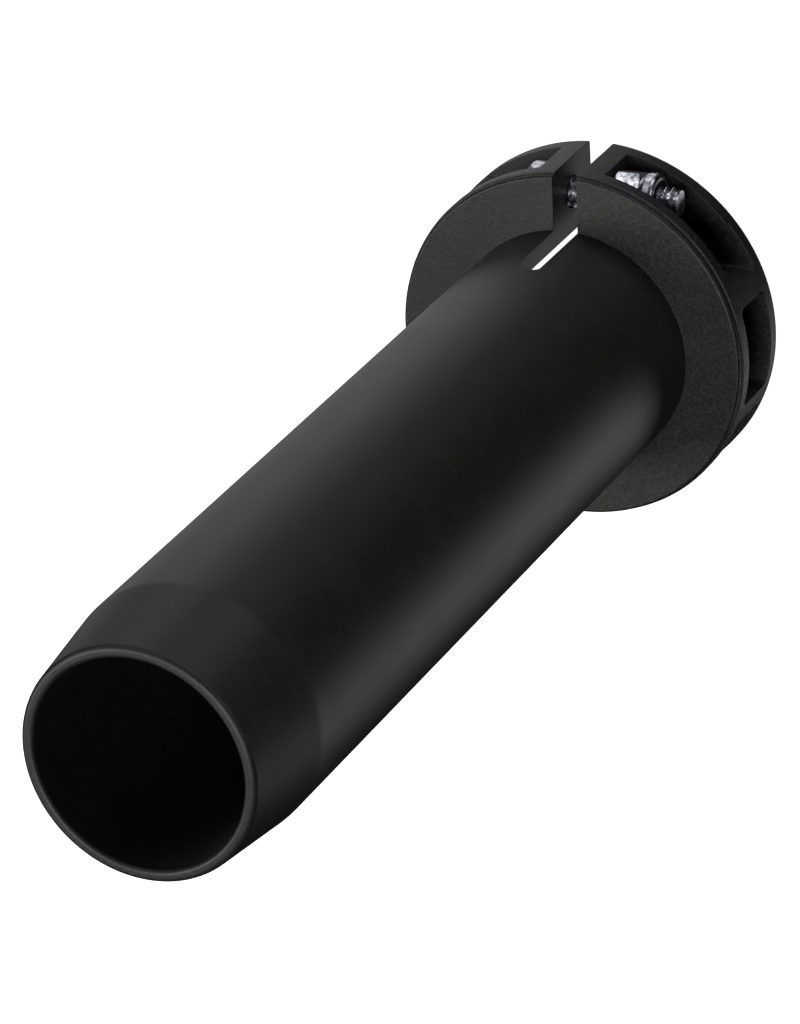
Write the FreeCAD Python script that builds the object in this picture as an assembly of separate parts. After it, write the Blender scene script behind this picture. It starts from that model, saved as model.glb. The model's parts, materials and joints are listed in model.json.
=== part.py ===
import FreeCAD, Part
import math
import os

# Throttle tube with a split clamp collar, its clamp screw and its lock nut.
#
# Frame: the origin is the centre of the bore on the inboard face of the collar. +Z runs along the
# tube to its tapered open end, +Y points out through the slit and +X points from the screw's head
# to the nut. The part stands on the inboard face.

# ---- driving dimensions, mm ----

# tube
bore_d = 22.5              # slides over a 22.2 mm (7/8 in) handlebar
tube_wall = 2.55
overall_length = 118.5
taper_length = 12.0        # the outer end narrows over this length
mouth_wall = 1.25          # wall left at the very end
taper_blend_r = 6.0        # arc that softens the start of the taper
mouth_round = 0.55         # edge rounding, outside and inside

# clamp collar: two flanges with a gap that the screw and the nut lie in
flange_height = 6.55       # from the tube's outer surface to the rim
inboard_flange = 2.05      # thickness
outboard_flange = 2.5      # thickness
rim_step = 0.22            # the outboard rim is this much smaller in its last stretch
rim_step_length = 0.9
rim_round = 0.3
ear_thickness = 2.5        # walls at each side of the slit
web_half = 1.25            # half the wall opposite the slit
rib_offset = 6.85          # height of the rib planes above and below the bore's axis
rib_thickness = 2.2
pocket_corner_r = 0.9      # rounding where ribs meet flanges
seat_wall = 2.15           # wall left between the nut's seat and the bore
seat_step = 0.25           # the inboard wall is thicker beside the nut by this much
seat_half = 3.05           # how far that thicker stretch reaches towards the bore
ledge_drop = 0.8           # a low ledge on the inboard wall stays this far below the screw's axis
ledge_clearance = 0.7      # from the nut's end to the ledge, along X

# slit that lets the collar close on the bar
slit_width = 2.8
slit_run = 11.4            # how far it runs on into the tube
slit_corner_r = 0.9        # rounding of its end
slit_chamfer = 0.4         # bevel of its two edges on the bore side

# screw, No. 6-32 UNC
thread_d = 3.5
thread_pitch = 25.4 / 32
head_d = 6.0
head_height = 2.4
head_round = 0.6
recess_span = 3.4          # cross recess, across the wings
recess_wing = 0.85         # width of a wing
recess_depth = 1.5
point_chamfer = 0.2
protrusion = 2.5           # screw beyond the nut

# nylon-insert lock nut
nut_af = 5.8
nut_play = 0.35            # from a flat to a flange wall, before the nut turns in its pocket
nut_height = 5.0
nut_hex_height = 3.3
nut_bevel = 0.45           # length of the bevels at the hexagon's two ends
nut_neck = 0.3             # length over which the collar swells out from the hexagon
nut_collar_d = 6.15
nut_lip = 0.3              # rolled edge that holds the insert in
nut_lip_bore = 4.6
nut_thread_chamfer = 0.3
insert_length = 1.4
insert_d = 5.2

# clearances
nut_side_clearance = 0.075     # a corner to the flange wall that stops the nut from turning
nut_corner_clearance = 0.18    # the lowest corner to the seat's floor
screw_hole_clearance = 0.1     # radial, the screw in the ears
thread_clearance = 0.03        # radial, the screw in the nut
insert_clearance = 0.02        # radial, the screw in the insert
ledge_gap = 0.04               # the nut's collar to the ledge, as it travels past
seat_gap = 0.05                # head to ear, and nut to ear

# ---- derived dimensions ----

bore_r = bore_d / 2
tube_r = bore_r + tube_wall
mouth_r = bore_r + mouth_wall
flange_r = tube_r + flange_height
gap = nut_af + 2 * nut_play
gap_z0 = inboard_flange
gap_z1 = inboard_flange + gap
collar_length = gap_z1 + outboard_flange
slit_half = slit_width / 2
slit_end = collar_length + slit_run
ear_x = slit_half + ear_thickness
nut_corner_r = nut_af / 2 / math.cos(math.pi / 6)
nut_turn = math.asin((gap / 2 - nut_side_clearance) / nut_corner_r) - math.radians(60)
seat_y = math.sqrt(bore_r ** 2 - ear_x ** 2) + seat_wall
screw_y = seat_y + nut_corner_clearance + nut_corner_r * math.cos(nut_turn)
screw_z = (gap_z0 + gap_z1) / 2
thread_r = thread_d / 2
nut_x0 = ear_x + seat_gap
nut_x1 = nut_x0 + nut_height
ledge_z = screw_z - math.sqrt((nut_collar_d / 2) ** 2 - ledge_drop ** 2) - ledge_gap
head_x = -(ear_x + seat_gap)
tip_x = nut_x1 + protrusion
beyond = 2 * flange_r      # longer than anything that it cuts

X_AXIS = FreeCAD.Vector(1, 0, 0)
Z_AXIS = FreeCAD.Vector(0, 0, 1)
ORIGIN = FreeCAD.Vector(0, 0, 0)


def box(x0, x1, y0, y1, z0, z1):
    """Block between two corners."""
    return Part.makeBox(x1 - x0, y1 - y0, z1 - z0, FreeCAD.Vector(x0, y0, z0))


def rod(radius, x0, x1):
    """Cylinder on the screw's axis, from x0 to x1."""
    return Part.makeCylinder(radius, x1 - x0, FreeCAD.Vector(x0, screw_y, screw_z), X_AXIS)


def turned(points):
    """Solid of revolution about X of a closed outline, given as (x, radius) points."""
    corners = [FreeCAD.Vector(x, r, 0) for x, r in points]
    face = Part.Face(Part.makePolygon(corners + corners[:1]))
    return face.revolve(ORIGIN, X_AXIS, 360)


def on_screw_axis(shape):
    """The same shape, moved from the X axis to the screw's axis."""
    shape.translate(FreeCAD.Vector(0, screw_y, screw_z))
    return shape


def circles_at(shape, axis, place, radius):
    """Circular edges of a turned shape, at a place along its axis and with that radius."""
    found = []
    for edge in shape.Edges:
        curve = edge.Curve
        if not isinstance(curve, Part.Circle):
            continue
        along = curve.Center.z if axis == "z" else curve.Center.x
        if abs(along - place) < 1e-4 and abs(curve.Radius - radius) < 1e-4:
            found.append(edge)
    return found


def sleeve_blank():
    """Tube, taper and collar before the pockets and the slit are cut."""
    taper_z = overall_length - taper_length
    step_z = collar_length - rim_step_length
    outline = [
        (mouth_r, overall_length),
        (bore_r, overall_length),
        (bore_r, 0),
        (flange_r, 0),
        (flange_r, step_z),
        (flange_r - rim_step, step_z),
        (flange_r - rim_step, collar_length),
        (tube_r, collar_length),
        (tube_r, taper_z),
    ]
    corners = [FreeCAD.Vector(r, 0, z) for r, z in outline]
    face = Part.Face(Part.makePolygon(corners + corners[:1]))
    blank = face.revolve(ORIGIN, Z_AXIS, 360)
    blank = blank.makeFillet(taper_blend_r, circles_at(blank, "z", taper_z, tube_r))
    blank = blank.makeFillet(mouth_round, circles_at(blank, "z", overall_length, mouth_r))
    blank = blank.makeFillet(mouth_round, circles_at(blank, "z", overall_length, bore_r))
    front_edge = circles_at(blank, "z", collar_length, flange_r - rim_step)
    return blank.makeFillet(rim_round, front_edge)


def window(x0, y0, y1, z0, z1):
    """Block on the +X side that runs out past the rim, rounded along its four X edges."""
    block = box(x0, x0 + beyond, y0, y1, z0, z1)
    along_x = []
    for edge in block.Edges:
        start, end = [vertex.Point for vertex in edge.Vertexes]
        if abs(start.x - end.x) > 1e-6:
            along_x.append(edge)
    return block.makeFillet(pocket_corner_r, along_x)


def pockets():
    """Pockets between the flanges on the +X side: beside the slit, in the middle and below.
    Their walls are parallel to the X axis, the way that a mould's side cores draw."""
    tube = Part.makeCylinder(tube_r, collar_length, ORIGIN, Z_AXIS)
    low_z = gap_z0 - seat_step
    half_rib = rib_thickness / 2
    seat_edge_y = screw_y - seat_half
    upper = window(ear_x, rib_offset + half_rib, beyond, low_z, gap_z1)
    pad = box(0, beyond, seat_edge_y, beyond, low_z, gap_z0)
    ledge_x = nut_x1 + ledge_clearance
    ledge = box(ledge_x, beyond, seat_edge_y, screw_y - ledge_drop, gap_z0, ledge_z)
    middle = window(0, -rib_offset + half_rib, rib_offset - half_rib, low_z, gap_z1)
    lower = window(web_half, -beyond, -rib_offset - half_rib, low_z, gap_z1)
    seat = box(ear_x, beyond, seat_y, beyond, gap_z0, gap_z1)
    beside_slit = upper.cut(tube).cut(pad).fuse(seat).cut(ledge)
    return [beside_slit, middle.cut(tube), lower.cut(tube)]


def slit_cutter():
    """Slit through the collar and on into the tube, with rounded corners at its end and its
    edges bevelled where it meets the bore."""
    straight = box(-slit_half, slit_half, 0, beyond, -1, slit_end)
    corners = []
    for edge in straight.Edges:
        start, end = [vertex.Point for vertex in edge.Vertexes]
        if min(start.z, end.z) > slit_end - 1e-6 and abs(start.y - end.y) > 1e-6:
            corners.append(edge)
    slit = straight.makeFillet(slit_corner_r, corners)
    inner_y = math.sqrt(bore_r ** 2 - slit_half ** 2)
    low_y = inner_y - slit_chamfer
    low_half = slit_half + 2 * slit_chamfer
    peak_y = inner_y + slit_chamfer + slit_half
    wedge = [(-low_half, low_y), (low_half, low_y), (0, peak_y)]
    outline = [FreeCAD.Vector(x, y, -1) for x, y in wedge]
    bevel = Part.Face(Part.makePolygon(outline + outline[:1]))
    return slit.fuse(bevel.extrude(FreeCAD.Vector(0, 0, slit_end + 1)))


def grip_sleeve():
    """Tube and clamp collar, one moulding."""
    sleeve = sleeve_blank()
    for pocket in pockets():
        sleeve = sleeve.cut(pocket)
        sleeve = sleeve.cut(pocket.mirror(ORIGIN, X_AXIS))
    sleeve = sleeve.cut(slit_cutter())
    hole_r = thread_r + screw_hole_clearance
    sleeve = sleeve.cut(rod(hole_r, -ear_x - 1, ear_x + 1))
    return sleeve.removeSplitter()


def cross_recess():
    """Tapered cross recess, its mouth on the head's outer face."""
    top_x = head_x - head_height
    half_span = recess_span / 2
    half_wing = recess_wing / 2
    bottom_x = top_x + recess_depth
    along_y = box(top_x, bottom_x, -half_span, half_span, -half_wing, half_wing)
    along_z = box(top_x, bottom_x, -half_wing, half_wing, -half_span, half_span)
    taper = Part.makeCone(half_span, half_wing, recess_depth, FreeCAD.Vector(top_x, 0, 0), X_AXIS)
    return along_y.fuse(along_z).common(taper)


def clamp_screw():
    """Low round-head machine screw. The thread is its crest cylinder."""
    top_x = head_x - head_height
    outline = [
        (top_x, 0),
        (top_x, head_d / 2),
        (head_x, head_d / 2),
        (head_x, thread_r),
        (tip_x - point_chamfer, thread_r),
        (tip_x, thread_r - point_chamfer),
        (tip_x, 0),
    ]
    screw = turned(outline)
    screw = screw.makeFillet(head_round, circles_at(screw, "x", top_x, head_d / 2))
    return on_screw_axis(screw.cut(cross_recess()))


def lock_nut():
    """Hexagon nut with a round collar that is rolled over its nylon ring. It lies turned in its
    pocket, as tightening leaves it, until two corners meet the flange walls."""
    hex_x1 = nut_x0 + nut_hex_height
    corners = []
    for k in range(6):
        angle = math.radians(60 * k) + nut_turn
        corner = (nut_corner_r * math.cos(angle), nut_corner_r * math.sin(angle))
        corners.append(FreeCAD.Vector(nut_x0, *corner))
    face = Part.Face(Part.makePolygon(corners + corners[:1]))
    prism = face.extrude(FreeCAD.Vector(nut_hex_height, 0, 0))

    # the corners are bevelled at the seat and where the collar starts
    end_r = 0.97 * nut_af / 2
    hexagon = prism.common(turned([
        (nut_x0, 0),
        (nut_x0, end_r),
        (nut_x0 + nut_bevel, nut_corner_r),
        (hex_x1 - nut_bevel, nut_corner_r),
        (hex_x1, end_r),
        (hex_x1, 0),
    ]))
    collar_r = nut_collar_d / 2
    collar = turned([
        (hex_x1 - nut_bevel, 0),
        (hex_x1 - nut_bevel, end_r),
        (hex_x1, end_r),
        (hex_x1 + nut_neck, collar_r),
        (nut_x1, collar_r),
        (nut_x1, 0),
    ])
    collar = collar.makeFillet(2 * nut_lip, circles_at(collar, "x", nut_x1, collar_r))

    thread_bore_r = thread_r + thread_clearance
    insert_x1 = nut_x1 - nut_lip
    bore = turned([
        (nut_x0, 0),
        (nut_x0, thread_bore_r + nut_thread_chamfer),
        (nut_x0 + nut_thread_chamfer, thread_bore_r),
        (insert_x1 - insert_length, thread_bore_r),
        (insert_x1 - insert_length, insert_d / 2),
        (insert_x1, insert_d / 2),
        (insert_x1, nut_lip_bore / 2),
        (nut_x1, nut_lip_bore / 2),
        (nut_x1, 0),
    ])
    return on_screw_axis(hexagon.fuse(collar).cut(bore).removeSplitter())


def nut_insert():
    """Nylon ring that grips the thread, held in the nut's collar."""
    insert_x1 = nut_x1 - nut_lip
    ring = rod(insert_d / 2, insert_x1 - insert_length, insert_x1)
    return ring.cut(rod(thread_r + insert_clearance, nut_x0, nut_x1))


os.makedirs("parts", exist_ok=True)
pieces = {
    "grip_sleeve": grip_sleeve(),
    "clamp_screw": clamp_screw(),
    "lock_nut": lock_nut(),
    "nut_insert": nut_insert(),
}
for name, shape in pieces.items():
    shape.exportStep("parts/" + name + ".step")
    size = shape.BoundBox
    print(name, shape.isValid(), len(shape.Solids), "volume %.1f mm3" % shape.Volume)
    print("   x %.2f..%.2f  y %.2f..%.2f  z %.2f..%.2f" % (
        size.XMin, size.XMax, size.YMin, size.YMax, size.ZMin, size.ZMax))
print("screw axis y %.3f z %.3f, one turn moves the nut %.3f mm" % (screw_y, screw_z, thread_pitch))
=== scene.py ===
# %% [markdown]
# # Throttle tube with a split clamp collar
#
# The object is a black moulded nylon tube that slides over a handlebar. A rubber hand grip is later
# pushed on over the tapered end. At the inboard end a collar of two flanges is slit, and a small
# screw and a lock nut lie between the flanges and pull the slit closed on the bar.
#
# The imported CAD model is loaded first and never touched. It fixes where everything is. Each visible
# piece is then modelled again with finer detail, in the same place, and stands for its CAD node.

# %% Load the frame
import json
import math

import bmesh
import bpy
from mathutils import Euler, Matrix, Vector


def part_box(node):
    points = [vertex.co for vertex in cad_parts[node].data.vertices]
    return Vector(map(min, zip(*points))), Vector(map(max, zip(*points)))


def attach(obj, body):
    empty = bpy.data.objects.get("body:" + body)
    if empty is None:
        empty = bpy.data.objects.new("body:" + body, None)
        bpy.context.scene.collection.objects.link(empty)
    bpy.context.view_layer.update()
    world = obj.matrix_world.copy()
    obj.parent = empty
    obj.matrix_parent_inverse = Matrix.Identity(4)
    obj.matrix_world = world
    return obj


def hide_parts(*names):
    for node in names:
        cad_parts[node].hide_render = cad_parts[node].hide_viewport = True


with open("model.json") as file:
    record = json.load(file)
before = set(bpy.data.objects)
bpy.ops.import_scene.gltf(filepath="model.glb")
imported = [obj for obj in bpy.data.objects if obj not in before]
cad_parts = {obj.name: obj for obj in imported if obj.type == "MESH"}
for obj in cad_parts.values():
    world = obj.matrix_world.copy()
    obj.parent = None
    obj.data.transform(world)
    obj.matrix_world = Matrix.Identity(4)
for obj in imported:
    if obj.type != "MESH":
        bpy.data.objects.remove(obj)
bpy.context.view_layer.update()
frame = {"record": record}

# %% [markdown]
# ## Sizes
#
# The modelling is done in millimetres, because bevels, merges and booleans on parts this small are
# easier to read and safer in numbers near one. Each finished piece is shrunk to metres once, at the
# end. Places and fits come from the frame, and only what it can't tell, such as a rounding, is a
# value here.

# %% Read sizes from the frame
MM = 0.001
mounts = {mount["name"]: mount for mount in frame["record"]["mounts"]}
bore_r = mounts["handlebar_bore"]["dims"]["r_mm"]
tube_r = mounts["grip_seat"]["dims"]["r_mm"]
collar_length = mounts["grip_stop"]["pos_m"][2] / MM


def node_box(name):
    """Lowest and highest corner of a CAD node, in millimetres."""
    return [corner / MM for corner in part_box(name)]


sleeve_high = node_box("grip_sleeve")[1]
screw_low, screw_high = node_box("clamp_screw")
nut_low, nut_high = node_box("lock_nut")
insert_low, insert_high = node_box("nut_insert")

overall_length = sleeve_high.z
axis_y = (screw_low.y + screw_high.y) / 2
axis_z = (screw_low.z + screw_high.z) / 2
print("bore %.2f, tube %.2f, length %.2f mm" % (2 * bore_r, 2 * tube_r, overall_length))
print("screw axis at y %.3f, z %.3f mm" % (axis_y, axis_z))

# %% [markdown]
# ## Tools for working by hand
#
# Every step below is a click in Blender: add a primitive, go into edit mode, select some faces or
# edges, and use an operator on them. In a script the selecting is done by place or by normal, and
# these short helpers do it. An operator works on everything that is selected, so each helper clears
# the selection first.

# %% Select, apply and combine
def only(piece):
    """Selects one object and nothing else."""
    bpy.ops.object.select_all(action="DESELECT")
    piece.select_set(True)
    bpy.context.view_layer.objects.active = piece
    return piece


def added():
    """The primitive that was just added, with its place moved into its mesh."""
    piece = only(bpy.context.active_object)
    bpy.ops.object.transform_apply(location=True, rotation=True, scale=True)
    return piece


def edit(piece):
    only(piece)
    bpy.ops.object.mode_set(mode="EDIT")


def leave():
    bpy.ops.object.mode_set(mode="OBJECT")


def pick(piece, kind, test):
    """In edit mode, selects only the vertices, edges or faces that pass the test."""
    bpy.ops.mesh.select_mode(type=kind)
    bpy.ops.mesh.select_all(action="DESELECT")
    mesh = bmesh.from_edit_mesh(piece.data)
    items = {"VERT": mesh.verts, "EDGE": mesh.edges, "FACE": mesh.faces}[kind]
    found = [item for item in items if test(item)]
    for item in found:
        item.select_set(True)
    mesh.select_flush_mode()
    bmesh.update_edit_mesh(piece.data)
    return len(found)


def apply(piece, kind, **settings):
    """Adds a modifier with its settings and applies it."""
    only(piece)
    modifier = piece.modifiers.new(kind.title(), kind)
    for name, value in settings.items():
        setattr(modifier, name, value)
    bpy.ops.object.modifier_apply(modifier=modifier.name)


def combine(piece, tool, operation):
    """Cuts the tool from the piece, joins it on, or keeps what both share."""
    apply(piece, "BOOLEAN", operation=operation, object=tool, solver="EXACT")
    bpy.data.objects.remove(tool)
    return piece


def copy_of(piece):
    """A copy with a mesh of its own."""
    twin = piece.copy()
    twin.data = piece.data.copy()
    bpy.context.collection.objects.link(twin)
    return twin


# %% [markdown]
# Four more helpers describe places: a round edge at a height, a flat face at a height, a block
# between two corners, and a bar along Z. The collar and the screw are made from little else.

# %% Round edges, flat faces, blocks and bars
NEAR = 0.01
ROUND = 96                         # sides of a small round bar


def on_ring(edge, z, radius):
    """True if both ends of the edge lie on a circle about Z."""
    return all(
        abs(v.co.z - z) < NEAR and abs(math.hypot(v.co.x, v.co.y) - radius) < NEAR
        for v in edge.verts
    )


def ring_bevel(piece, z, radius, width, segments):
    """Rounds a circular edge, in edit mode."""
    pick(piece, "EDGE", lambda edge: on_ring(edge, z, radius))
    bpy.ops.mesh.bevel(offset=width, segments=segments, profile=0.5, affect="EDGES")


def flat_at(z, facing):
    """A test for the flat face at a height, facing up (1) or down (-1)."""
    return lambda face: face.normal.z * facing > 0.9 and abs(face.calc_center_median().z - z) < NEAR


def extrude_z(length):
    bpy.ops.mesh.extrude_region_move(TRANSFORM_OT_translate={"value": (0, 0, length)})


def block(low, high):
    """A box between two corners."""
    low, high = Vector(low), Vector(high)
    bpy.ops.mesh.primitive_cube_add(size=1, location=(low + high) / 2)
    bpy.context.active_object.scale = high - low
    return added()


def bar(radius, z0, z1, sides=ROUND):
    """A round bar along Z."""
    bpy.ops.mesh.primitive_cylinder_add(
        vertices=sides, radius=radius, depth=z1 - z0, location=(0, 0, (z0 + z1) / 2)
    )
    return added()


# %% [markdown]
# ## The sleeve: tube, taper and collar blank
#
# On the real object this is one injection moulding. Turned shapes like this could be spun from an
# outline, but growing it from a cylinder keeps each step visible: the rim is a short cylinder, and
# insets and extrusions of its top face draw the rim's small step, the tube and the taper. Insetting
# both end faces to the bore and bridging them opens the tube from end to end.

# %% Grow the blank from a cylinder
SIDES = 192
flange_r = sleeve_high.x
rim_step = 0.22                    # the rim is this much smaller over its last stretch
rim_step_length = 0.9
step_z = collar_length - rim_step_length
taper_length = 12.0
mouth_wall = 1.25
mouth_r = bore_r + mouth_wall

sleeve = bar(flange_r, 0, step_z, SIDES)
edit(sleeve)
pick(sleeve, "FACE", flat_at(step_z, 1))
bpy.ops.mesh.inset(thickness=rim_step)
extrude_z(collar_length - step_z)
bpy.ops.mesh.inset(thickness=flange_r - rim_step - tube_r)
extrude_z(overall_length - taper_length - collar_length)
extrude_z(taper_length)
shrink = mouth_r / tube_r
bpy.ops.transform.resize(value=(shrink, shrink, 1))
bpy.ops.mesh.inset(thickness=mouth_r - bore_r)
pick(sleeve, "FACE", flat_at(0, -1))
bpy.ops.mesh.inset(thickness=flange_r - bore_r)
discs = pick(sleeve, "FACE", lambda face: len(face.verts) == SIDES)
bpy.ops.mesh.bridge_edge_loops()
leave()
print("opened", discs, "end discs; sleeve blank:", len(sleeve.data.polygons), "faces")

# %% [markdown]
# A mould leaves no truly sharp edge. The taper starts with a faint crease, the mouth is rounded
# inside and out to lead the grip and the bar on, and the rim has a fine radius. These are bevels on
# whole rings, made before the collar is cut so that they stay clean.

# %% Round the turned edges
turned_edges = [                   # place along the tube, radius, width of the rounding, segments
    (overall_length - taper_length, tube_r, 0.4, 3),
    (overall_length, mouth_r, 0.55, 5),
    (overall_length, bore_r, 0.45, 4),
    (collar_length, flange_r - rim_step, 0.35, 4),
    (0, flange_r, 0.3, 4),
    (0, bore_r, 0.3, 3),
]
edit(sleeve)
for z, radius, width, segments in turned_edges:
    ring_bevel(sleeve, z, radius, width, segments)
leave()
print("rounded", len(turned_edges), "turned edges")

# %% [markdown]
# ## Pockets between the flanges
#
# The collar would be a solid lump of plastic, so the mould cores it out from both sides and leaves
# ribs. The side cores draw along X, which is why all the pocket walls run parallel to X. Each core
# is made as a solid tool: a block with its long edges rounded, less the tube that the pocket stops
# at. The edges are rounded before it cuts, so the pocket gets filleted corners.
#
# The upper tool is then fitted to the nut: the inboard wall is made thicker beside it, the floor is
# cut flat below its lowest corner, and a low ledge stands on the wall past the nut's end.

# %% Pocket tools
inboard_flange, outboard_flange = 2.05, 2.5
gap_z0 = inboard_flange
gap_z1 = collar_length - outboard_flange
slit_half = 1.4
ear_thickness = 2.5
ear_x = slit_half + ear_thickness
web_half = 1.25                    # half the wall opposite the slit
rib_offset, rib_half = 6.85, 1.1   # ribs above and below the bore's axis
middle_x = 0.5                     # inside the tube, which is the middle pocket's floor
pocket_corner = 0.9
seat_y = nut_low.y - 0.19          # the nut's lowest corner clears its seat
seat_edge_y = axis_y - 3.05        # where the inboard wall gets thicker
low_z = gap_z0 - 0.25
ledge_x = nut_high.x + 0.7         # a low ledge on that wall, clear of the nut's path
ledge_y = axis_y - 0.8
ledge_z = gap_z0 + 0.24
beyond = 2 * flange_r
past_beyond = beyond + 9


def core(x0, y0, y1, z0, z1):
    """The solid that one pocket is cut with, on the +X side."""
    tool = block((x0, y0, z0), (x0 + beyond, y1, z1))
    edit(tool)
    pick(tool, "EDGE", lambda edge: abs(edge.verts[0].co.x - edge.verts[1].co.x) > 1)
    bpy.ops.mesh.bevel(offset=pocket_corner, segments=6, profile=0.5, affect="EDGES")
    leave()
    combine(tool, bar(tube_r, -1, collar_length + 1, SIDES), "DIFFERENCE")
    return tool


upper = core(ear_x, rib_offset + rib_half, beyond, low_z, gap_z1)
pad = block((0, seat_edge_y, low_z - 1), (past_beyond, past_beyond, gap_z0))
combine(upper, pad, "DIFFERENCE")
middle = core(middle_x, -rib_offset + rib_half, rib_offset - rib_half, low_z, gap_z1)
lower = core(web_half, -beyond, -rib_offset - rib_half, low_z, gap_z1)
seat = block((ear_x, seat_y, gap_z0), (beyond, beyond, gap_z1))
combine(upper, seat, "UNION")
ledge = block((ledge_x, seat_edge_y, gap_z0 - 0.1), (past_beyond, ledge_y, ledge_z))
combine(upper, ledge, "DIFFERENCE")
cores = [upper, middle, lower]
print("pocket tools:", [len(tool.data.polygons) for tool in cores], "faces")

# %% [markdown]
# The other side is the same mould core seen in a mirror. A mirrored mesh is inside out, so its
# normals are worked out again before it cuts.

# %% Mirror the tools and cut
def mirrored(tool):
    """A copy on the other side of the slit's plane."""
    twin = only(copy_of(tool))
    twin.scale.x = -1
    bpy.ops.object.transform_apply(location=True, rotation=True, scale=True)
    edit(twin)
    bpy.ops.mesh.select_all(action="SELECT")
    bpy.ops.mesh.normals_make_consistent(inside=False)
    leave()
    return twin


for tool in cores + [mirrored(tool) for tool in cores]:
    combine(sleeve, tool, "DIFFERENCE")
print("sleeve with pockets:", len(sleeve.data.polygons), "faces")

# %% [markdown]
# ## Slit and screw hole
#
# The slit runs through both flanges and on into the tube, and its end has rounded corners so that
# it can't start a crack. Bevelling the two end edges of a thin block gives them. A square bar stood
# on edge bevels the slit where it meets the bore. The screw's hole passes through both ears.

# %% Cut the slit and the hole
slit_run = 11.4                    # how far the slit goes on into the tube
slit_corner = 0.9
slit_chamfer = 0.4
slit_end = collar_length + slit_run
slit = block((-slit_half, 2, -1), (slit_half, beyond, slit_end))
edit(slit)
pick(slit, "EDGE", lambda edge: all(abs(v.co.z - slit_end) < NEAR for v in edge.verts)
     and abs(edge.verts[0].co.y - edge.verts[1].co.y) > 1)
bpy.ops.mesh.bevel(offset=slit_corner, segments=8, profile=0.5, affect="EDGES")
leave()
combine(sleeve, slit, "DIFFERENCE")

inner_y = math.sqrt(bore_r ** 2 - slit_half ** 2)
half_diagonal = slit_half + 2 * slit_chamfer
edge_bar = bar(half_diagonal, -1, slit_end, 4)
only(edge_bar).location.y = inner_y - slit_chamfer
bpy.ops.object.transform_apply(location=True, rotation=True, scale=True)
combine(sleeve, edge_bar, "DIFFERENCE")

hole_r = 1.85
bpy.ops.mesh.primitive_cylinder_add(
    vertices=64, radius=hole_r, depth=4 * ear_x, location=(0, axis_y, axis_z),
    rotation=(0, math.pi / 2, 0),
)
combine(sleeve, added(), "DIFFERENCE")
print("sleeve cut:", len(sleeve.data.polygons), "faces")

# %% [markdown]
# ## Finish of a moulding
#
# A boolean leaves slivers where a flat wall meets a round one. Merging near points and dissolving
# edges that lie in one plane removes them. Merging goes by the order of the points, and a boolean
# may number them anew in each run, so they are first sorted by their distance from the 3D cursor,
# put where hardly two of them are equally far. One bevel then rounds every edge that is still
# sharp, as a mould does, and weighted normals keep flat faces flat beside those narrow roundings.

# %% Clean, round and shade
SORT_FROM = (31.3, 57.7, 83.9)


def tidy(piece, merge):
    """Merges near points and dissolves edges inside flat faces."""
    edit(piece)
    bpy.ops.mesh.select_all(action="SELECT")
    bpy.context.scene.cursor.location = SORT_FROM
    bpy.ops.mesh.sort_elements(type="CURSOR_DISTANCE", elements={"VERT", "EDGE", "FACE"})
    bpy.ops.mesh.remove_doubles(threshold=merge)
    bpy.ops.mesh.dissolve_limited(angle_limit=math.radians(0.2))
    bpy.ops.mesh.select_all(action="SELECT")
    bpy.ops.mesh.normals_make_consistent(inside=False)
    leave()


def round_edges(piece, width, sharper_than=32):
    apply(piece, "BEVEL", width=width, segments=2, limit_method="ANGLE",
          angle_limit=math.radians(sharper_than), use_clamp_overlap=False)


def shade(piece, angle=40):
    only(piece)
    bpy.ops.object.shade_smooth_by_angle(angle=math.radians(angle))
    apply(piece, "WEIGHTED_NORMAL", keep_sharp=True, weight=80)


tidy(sleeve, merge=0.08)
round_edges(sleeve, width=0.08)
shade(sleeve)
print("sleeve finished:", len(sleeve.data.polygons), "faces")

# %% [markdown]
# ## The thread
#
# The clamp screw is a No. 6-32: 3.5 mm across its crests, one turn every 0.794 mm. A painted-on
# bump would do from far off, but the screw's end stands out beyond the nut and is seen in outline,
# so the thread is real. One ridge is drawn as a flat trapezium, the Screw modifier winds it round
# and up, right-handed, and it is joined to a core. The nut is tapped with the same shape, a little
# larger, so both threads mesh.

# %% Wind a thread
pitch = 25.4 / 32
crest_r = 1.75
root_r = crest_r - 0.6134 * pitch  # depth of a unified thread
buried = 0.12                      # the ridge reaches this far into the core
base_half = 0.36 * pitch           # half the ridge's width at its root
crest_half = 0.075 * pitch
head_height = 2.4
screw_z0 = screw_low.x + head_height
screw_z1 = screw_high.x


def thread(z0, z1, grow=0.0):
    """A threaded bar along Z. The ridge starts at the same angle for every length."""
    start = screw_z0 - 2 * pitch
    turns = math.ceil((z1 - start) / pitch) + 1
    low_r = root_r - buried + grow
    bpy.ops.mesh.primitive_plane_add(
        size=1, location=((low_r + crest_r + grow) / 2, 0, start), rotation=(math.pi / 2, 0, 0)
    )
    bpy.context.active_object.scale = (crest_r + grow - low_r, 2 * base_half, 1)
    ridge = added()
    edit(ridge)
    pick(ridge, "VERT", lambda v: v.co.x > root_r + grow)
    bpy.ops.transform.resize(
        value=(1, 1, crest_half / base_half), center_override=(crest_r + grow, 0, start)
    )
    bpy.ops.mesh.bevel(offset=0.025, segments=2, affect="VERTICES")
    bpy.ops.mesh.select_all(action="SELECT")
    bpy.ops.mesh.delete(type="ONLY_FACE")
    leave()
    apply(ridge, "SCREW", axis="Z", screw_offset=pitch, iterations=turns, steps=48,
          render_steps=48, use_merge_vertices=False)
    edit(ridge)
    bpy.ops.mesh.select_all(action="SELECT")
    bpy.ops.mesh.remove_doubles(threshold=0.001)
    bpy.ops.mesh.select_all(action="DESELECT")
    bpy.ops.mesh.select_non_manifold()
    bpy.ops.mesh.fill_holes(sides=0)
    bpy.ops.mesh.select_all(action="SELECT")
    bpy.ops.mesh.normals_make_consistent(inside=False)
    leave()
    combine(ridge, bar(root_r + grow, z0 - 0.4, z1 + 0.4, 64), "UNION")
    return ridge


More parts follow.
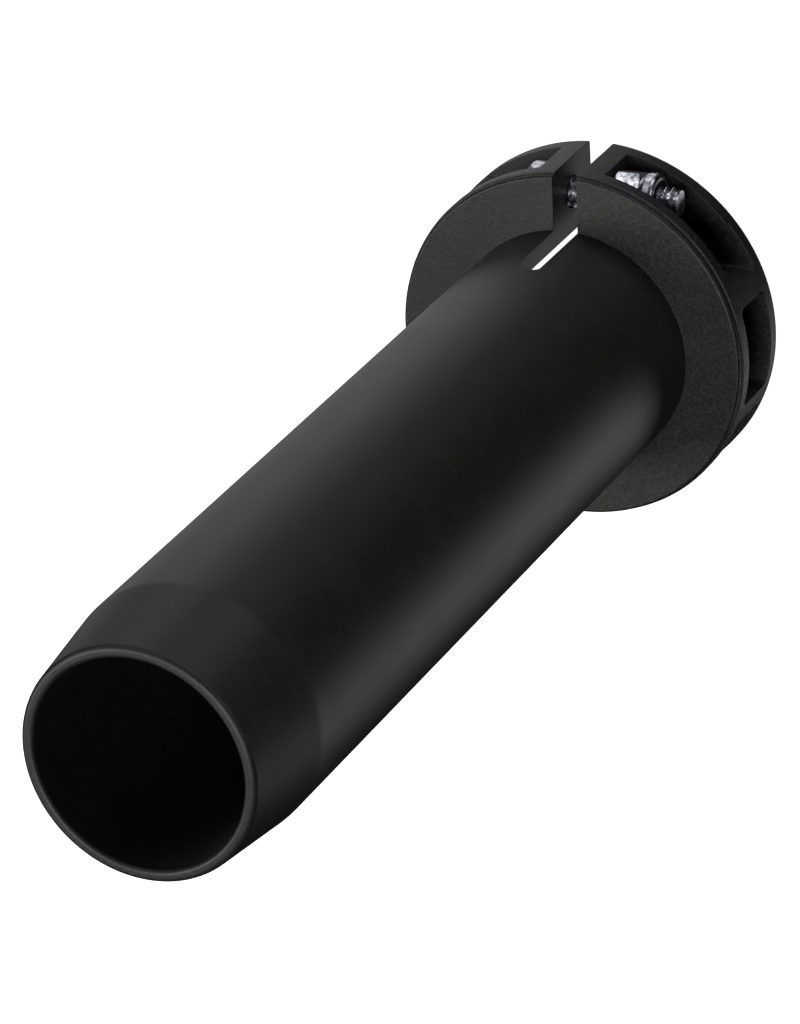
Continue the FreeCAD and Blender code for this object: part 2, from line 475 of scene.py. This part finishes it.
shaft = thread(screw_z0, screw_z1)
envelope_r = crest_r + 0.05
envelope = bar(envelope_r, screw_z0 - 0.3, screw_z1)
edit(envelope)
ring_bevel(envelope, screw_z1, envelope_r, width=0.28, segments=1)
leave()
combine(shaft, envelope, "INTERSECT")
print("threaded shaft:", len(shaft.data.polygons), "faces")

# %% [markdown]
# ## The screw's head
#
# A low round head with rounded shoulders and a cross recess. The recess is a tapered cross: two thin
# wedges that cross at the centre, joined and cut from the head. The shoulders are one bevel.

# %% Head and recess
head_r = (screw_high.z - screw_low.z) / 2
head_top = screw_low.x
wing_reach, wing_half = 1.7, 0.42
recess_depth = 1.5
head = bar(head_r, head_top, screw_z0)
edit(head)
ring_bevel(head, head_top, head_r, 0.6, 8)
ring_bevel(head, screw_z0, head_r, 0.08, 2)
leave()


def wing(angle):
    """One thin wedge of the cross recess, wide at the head's face and narrow inside."""
    bottom = head_top + recess_depth
    wedge = block((-wing_reach, -wing_half, head_top - 0.5), (wing_reach, wing_half, bottom))
    edit(wedge)
    pick(wedge, "FACE", flat_at(bottom, 1))
    bpy.ops.transform.resize(value=(0.35, 0.7, 1), center_override=(0, 0, bottom))
    leave()
    only(wedge).rotation_euler.z = angle
    bpy.ops.object.transform_apply(location=True, rotation=True, scale=True)
    return wedge


recess = combine(wing(math.radians(20)), wing(math.radians(110)), "UNION")
combine(head, recess, "DIFFERENCE")
tidy(head, merge=0.004)
round_edges(head, width=0.05)
screw = combine(shaft, head, "UNION")
print("clamp screw:", len(screw.data.polygons), "faces")

# %% [markdown]
# ## The lock nut
#
# A hexagon nut with bevelled corners, as if it had been turned, and a round collar rolled over a
# nylon ring. Tightening has turned it in its pocket until two corners nearly met the flange walls.
# Keeping what a hexagon shares with a turned drum gives the curved bevel lines that real nuts have.

# %% Hexagon, collar and tapped hole
nut_z0, nut_z1 = nut_low.x, nut_high.x
nut_af = 5.8                       # across flats
corner_r = nut_af / 2 / math.cos(math.pi / 6)
nut_turn = math.asin((nut_high.z - nut_low.z) / 2 / corner_r) - math.radians(60)
hex_length = 3.3
hex_z1 = nut_z0 + hex_length
collar_r = 3.075
neck = 0.3                         # length over which the collar swells out
end_r = 0.97 * nut_af / 2          # the hexagon is bevelled down to this radius
bevel_z = 0.45
lip_r = 2.3

nut = bar(corner_r, nut_z0, hex_z1, 6)
only(nut).rotation_euler.z = nut_turn
bpy.ops.object.transform_apply(location=True, rotation=True, scale=True)
drum = bar(corner_r + 0.01, nut_z0 + bevel_z, hex_z1 - bevel_z, 128)
edit(drum)
for z, facing in ((hex_z1 - bevel_z, 1), (nut_z0 + bevel_z, -1)):
    pick(drum, "FACE", flat_at(z, facing))
    extrude_z(facing * bevel_z)
    shrink = end_r / corner_r
    bpy.ops.transform.resize(value=(shrink, shrink, 1))
leave()
combine(nut, drum, "INTERSECT")

rolled = bar(end_r, hex_z1 - bevel_z, hex_z1)
edit(rolled)
pick(rolled, "FACE", flat_at(hex_z1, 1))
extrude_z(neck)
swell = collar_r / end_r
bpy.ops.transform.resize(value=(swell, swell, 1))
extrude_z(nut_z1 - hex_z1 - neck)
ring_bevel(rolled, hex_z1 + neck, collar_r, 0.3, 4)
ring_bevel(rolled, nut_z1, collar_r, 0.55, 6)
leave()
combine(nut, rolled, "UNION")

insert_r = (insert_high.z - insert_low.z) / 2
combine(nut, bar(lip_r, insert_high.x - 0.1, nut_z1 + 1), "DIFFERENCE")
combine(nut, bar(insert_r, insert_low.x, insert_high.x), "DIFFERENCE")
combine(nut, thread(nut_z0 - 1, insert_low.x + 0.3, grow=0.03), "DIFFERENCE")
tidy(nut, merge=0.004)
round_edges(nut, width=0.05, sharper_than=25)
print("lock nut:", len(nut.data.polygons), "faces")

# %% [markdown]
# ## The nylon ring
#
# The ring inside the collar grips the thread and keeps the nut from shaking loose. Only its outer
# face shows, inside the rolled lip. Its inner edge is rounded where the screw has pushed through it.

# %% Ring
grip_r = crest_r + 0.02
ring = bar(insert_r, insert_low.x, insert_high.x)
edit(ring)
for z, facing in ((insert_high.x, 1), (insert_low.x, -1)):
    pick(ring, "FACE", flat_at(z, facing))
    bpy.ops.mesh.inset(thickness=insert_r - grip_r)
pick(ring, "FACE", lambda face: len(face.verts) == ROUND)
bpy.ops.mesh.bridge_edge_loops()
ring_bevel(ring, insert_high.x, grip_r, 0.22, 4)
leave()
print("nylon ring:", len(ring.data.polygons), "faces")

# %% [markdown]
# ## Put the fasteners in place
#
# The screw, the nut and the ring were made along Z, with heights that are places along X. A quarter
# turn about Y lays them down, and a move puts them on the screw's axis. Both are applied, so the
# place is in the mesh.

# %% Lay the fasteners down
for piece in (screw, nut, ring):
    only(piece).rotation_euler.y = math.pi / 2
    piece.location = (0, axis_y, axis_z)
    bpy.ops.object.transform_apply(location=True, rotation=True, scale=True)
    shade(piece, 35)
print("fasteners laid along X at y %.3f, z %.3f mm" % (axis_y, axis_z))

# %% [markdown]
# ## Materials
#
# Each material is a Principled shader with its pattern in Object coordinates, so it stays fixed to
# the piece. Colours are written as sRGB hex values, as a paint chart gives them, and turned into the
# linear values that Blender works in. One helper adds a node, sets it and links it.

# %% Colour and node helpers
def linear(code):
    """An sRGB hex colour as linear RGBA."""
    parts = [int(code[i:i + 2], 16) / 255 for i in (1, 3, 5)]
    return [c / 12.92 if c <= 0.04045 else ((c + 0.055) / 1.055) ** 2.4 for c in parts] + [1]


def add(tree, kind, inputs=None, **settings):
    """Adds a node. An input is a value, or a (node, output name) pair to link from."""
    node = tree.nodes.new(kind)
    for name, value in settings.items():
        setattr(node, name, value)
    for name, value in (inputs or {}).items():
        if isinstance(value, tuple) and isinstance(value[0], bpy.types.Node):
            tree.links.new(value[0].outputs[value[1]], node.inputs[name])
        else:
            node.inputs[name].default_value = value
    return node


def ramp(tree, source, stops):
    """A colour ramp from (place, colour) pairs."""
    node = add(tree, "ShaderNodeValToRGB", {"Fac": source})
    elements = node.color_ramp.elements
    elements[0].position, elements[0].color = stops[0]
    elements[1].position, elements[1].color = stops[-1]
    for place, colour in stops[1:-1]:
        elements.new(place).color = colour
    return node


def grey(value):
    return (value, value, value, 1)


def new_material(name):
    """An empty material with its shader, its output and its Object coordinates."""
    material = bpy.data.materials.new(name)
    material.use_nodes = True
    tree = material.node_tree
    tree.nodes.clear()
    shader = add(tree, "ShaderNodeBsdfPrincipled")
    add(tree, "ShaderNodeOutputMaterial", {"Surface": (shader, "BSDF")})
    place = add(tree, "ShaderNodeTexCoord")
    return material, tree, shader, (place, "Object")


def per_mm(size):
    """The noise scale whose features are about this many millimetres across."""
    return 1 / (size * MM)


# %% [markdown]
# ### Glass-filled nylon
#
# The sleeve is black nylon with short glass fibres, moulded in a spark-eroded tool. It gives a dull
# satin black with a fine even grain about 0.3 mm across, faint patches where the melt flowed, and a
# slightly uneven gloss. The grain is strong on the collar and weak on the tube, whose mould is
# smoother. A dark grey, not pure black, lets the soft lights model the shape.

# %% Glass-filled nylon
def glass_filled_nylon():
    material, tree, shader, place = new_material("glass_filled_nylon")
    grain = add(tree, "ShaderNodeTexNoise", {"Vector": place, "Scale": per_mm(0.28), "Detail": 3})
    flow = add(tree, "ShaderNodeTexNoise", {"Vector": place, "Scale": per_mm(4), "Detail": 4})
    height = add(tree, "ShaderNodeSeparateXYZ", {"Vector": place})
    amount = add(tree, "ShaderNodeMapRange", {
        "Value": (height, "Z"), "From Min": collar_length * MM, "From Max": (collar_length + 1) * MM,
        "To Min": 0.75, "To Max": 0.3})
    speck = add(tree, "ShaderNodeMix", {
        "Factor": (amount, "Result"), "A": 0.5, "B": (grain, "Fac")}, data_type="FLOAT")
    both = add(tree, "ShaderNodeMix", {
        "Factor": 0.12, "A": (speck, "Result"), "B": (flow, "Fac")}, data_type="FLOAT")
    colour = ramp(tree, (both, "Result"), [
        (0.36, linear("#121211")), (0.5, linear("#222221")), (0.66, linear("#3c3b39"))])
    gloss = ramp(tree, (both, "Result"), [(0.35, grey(0.42)), (0.65, grey(0.58))])
    bump = add(tree, "ShaderNodeBump", {
        "Height": (speck, "Result"), "Strength": 0.6, "Distance": 0.00006})
    tree.links.new(colour.outputs["Color"], shader.inputs["Base Color"])
    tree.links.new(gloss.outputs["Color"], shader.inputs["Roughness"])
    tree.links.new(bump.outputs["Normal"], shader.inputs["Normal"])
    shader.inputs["IOR"].default_value = 1.53
    return material


# %% [markdown]
# ### Bright zinc plating
#
# The screw and the nut are steel with a thin clear-passivated zinc coat: a bright, slightly blue
# white metal, not mirror smooth, with cloudy gloss and small dark pits left by the pressing.

# %% Bright zinc plating
def zinc_plate(name, pitting):
    material, tree, shader, place = new_material(name)
    cloud = add(tree, "ShaderNodeTexNoise", {"Vector": place, "Scale": per_mm(1.2), "Detail": 5})
    pits = add(tree, "ShaderNodeTexNoise", {"Vector": place, "Scale": per_mm(0.5), "Detail": 4})
    colour = ramp(tree, (pits, "Fac"), [
        (0.38, linear("#84859a")), (0.5, linear("#cfd0dc")), (0.66, linear("#f4f4f6"))])
    gloss = ramp(tree, (cloud, "Fac"), [(0.35, grey(0.26)), (0.65, grey(0.40))])
    bump = add(tree, "ShaderNodeBump", {
        "Height": (pits, "Fac"), "Strength": pitting, "Distance": 0.00005})
    tree.links.new(colour.outputs["Color"], shader.inputs["Base Color"])
    tree.links.new(gloss.outputs["Color"], shader.inputs["Roughness"])
    tree.links.new(bump.outputs["Normal"], shader.inputs["Normal"])
    shader.inputs["Metallic"].default_value = 1
    return material


# %% [markdown]
# ### Nylon of the locking ring
#
# Unfilled nylon, dyed dark with a violet cast and a little glossier than the sleeve.

# %% Locking ring nylon
def ring_nylon():
    material, tree, shader, place = new_material("dyed_nylon")
    cloud = add(tree, "ShaderNodeTexNoise", {"Vector": place, "Scale": per_mm(0.6), "Detail": 3})
    colour = ramp(tree, (cloud, "Fac"), [(0.3, linear("#2b2533")), (0.7, linear("#453c52"))])
    bump = add(tree, "ShaderNodeBump", {
        "Height": (cloud, "Fac"), "Strength": 0.3, "Distance": 0.00003})
    tree.links.new(colour.outputs["Color"], shader.inputs["Base Color"])
    tree.links.new(bump.outputs["Normal"], shader.inputs["Normal"])
    shader.inputs["Roughness"].default_value = 0.38
    shader.inputs["IOR"].default_value = 1.53
    return material


# %% [markdown]
# ## Hand the pieces over
#
# Each piece is shrunk from millimetres to metres, takes its material, and is told which CAD body it
# moves with. It is named after the CAD node it stands for, and that node is hidden.

# %% Finish the pieces
def hand_over(piece, node, body, material):
    piece.name = node + "_look"
    piece.data.name = piece.name
    only(piece).scale = (MM, MM, MM)
    bpy.ops.object.transform_apply(location=True, rotation=True, scale=True)
    piece.data.materials.clear()
    piece.data.materials.append(material)
    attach(piece, body)
    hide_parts(node)
    triangles = sum(len(face.vertices) - 2 for face in piece.data.polygons)
    print("%s: %d triangles" % (piece.name, triangles))


hand_over(sleeve, "grip_sleeve", "sleeve", glass_filled_nylon())
screw_zinc = zinc_plate("zinc_plated_screw", pitting=0.15)
hand_over(screw, "clamp_screw", "screw", screw_zinc)
nut_zinc = zinc_plate("zinc_plated_nut", pitting=0.35)
hand_over(nut, "lock_nut", "nut", nut_zinc)
hand_over(ring, "nut_insert", "nut", ring_nylon())

# %% [markdown]
# ## Floor
#
# The object stands on its inboard face, on a plain white floor under a plain white sky. Both are
# seen by the camera only. They light nothing and take no shadow, so the soft panels further on
# shape the object alone, and a panel may even stand below the floor.

# %% Floor
bpy.ops.mesh.primitive_plane_add(size=8, location=(0, 0, -0.0001))
floor = bpy.context.active_object
floor.name = "floor"
sweep, _, sweep_shader, _ = new_material("white_sweep")
sweep_shader.inputs["Base Color"].default_value = grey(0.9)
sweep_shader.inputs["Roughness"].default_value = 0.9
sweep_shader.inputs["Emission Color"].default_value = grey(1)
sweep_shader.inputs["Emission Strength"].default_value = 1.0
floor.data.materials.append(sweep)
for way in ("diffuse", "glossy", "transmission", "shadow"):
    setattr(floor, "visible_" + way, False)

world = bpy.data.worlds.new("studio")
bpy.context.scene.world = world
world.use_nodes = True
background = world.node_tree.nodes["Background"]
background.inputs["Color"].default_value = grey(1)
background.inputs["Strength"].default_value = 1.0
for way in ("diffuse", "glossy", "transmission"):
    setattr(world.cycles_visibility, way, False)
print("floor and sky are seen by the camera only")

# %% [markdown]
# ## Camera
#
# The camera looks down on the tube's mouth, from the nut's side of the slit. It stands well back
# with a long lens, so the tube hardly narrows towards its far end.

# %% Camera
camera_data = bpy.data.cameras.new("camera")
camera_data.lens = 198.3
camera_data.sensor_width = 36
camera_data.clip_start = 0.01
camera_data.clip_end = 50
camera = bpy.data.objects.new("camera", camera_data)
camera.location = Vector((229.125, 243.841, 540.766)) * MM
camera.rotation_euler = Euler([math.radians(a) for a in (-25.717, 24.118, -2.896)])
bpy.context.collection.objects.link(camera)
bpy.context.scene.camera = camera
bpy.context.scene.view_settings.view_transform = "Standard"
print("camera at", [round(v / MM) for v in camera.location], "mm")

# %% [markdown]
# ## Soft panels
#
# A black object on white needs broad soft light, or it shows nothing but its outline. Each light is
# a round panel aimed at the middle of the tube. The key draws the long highlight down the tube, the
# overhead one lights the mouth and the flanges, the low ones lift the edges of the tube, and the
# three small ones reach the screw, the nut and the pocket.

# %% Soft panels
aim = Vector((0, 0, 0.055))        # in metres, the middle of the tube
panel_distance = 0.8


def panel(name, azimuth, elevation, power, size=0.45):
    """A round soft light aimed at the tube. Its azimuth is turned from +X towards +Y."""
    turn, rise = math.radians(azimuth), math.radians(elevation)
    level = math.cos(rise)
    towards = Vector((level * math.cos(turn), level * math.sin(turn), math.sin(rise)))
    light = bpy.data.lights.new(name, "AREA")
    light.shape = "DISK"
    light.size = size
    light.energy = power
    lamp = bpy.data.objects.new(name, light)
    lamp.location = aim + panel_distance * towards
    lamp.rotation_euler = towards.to_track_quat("Z", "Y").to_euler()
    bpy.context.collection.objects.link(lamp)


panel("overhead", 0, 80, 3.0)
panel("key", 180, 50, 3.0)
panel("front_fill", 72, -20, 0.85)
panel("left_edge", 135, -55, 0.35)
panel("low_fill", 180, -55, 0.35)
panel("right_edge", 315, -55, 0.38, size=0.35)
panel("pocket", 112, 12, 0.3, size=0.2)
panel("pocket_low", 113, -28, 0.3, size=0.2)
panel("thread", 30, 0, 0.35, size=0.2)
lights = [item for item in bpy.data.objects if item.type == "LIGHT"]
print("soft panels:", len(lights))
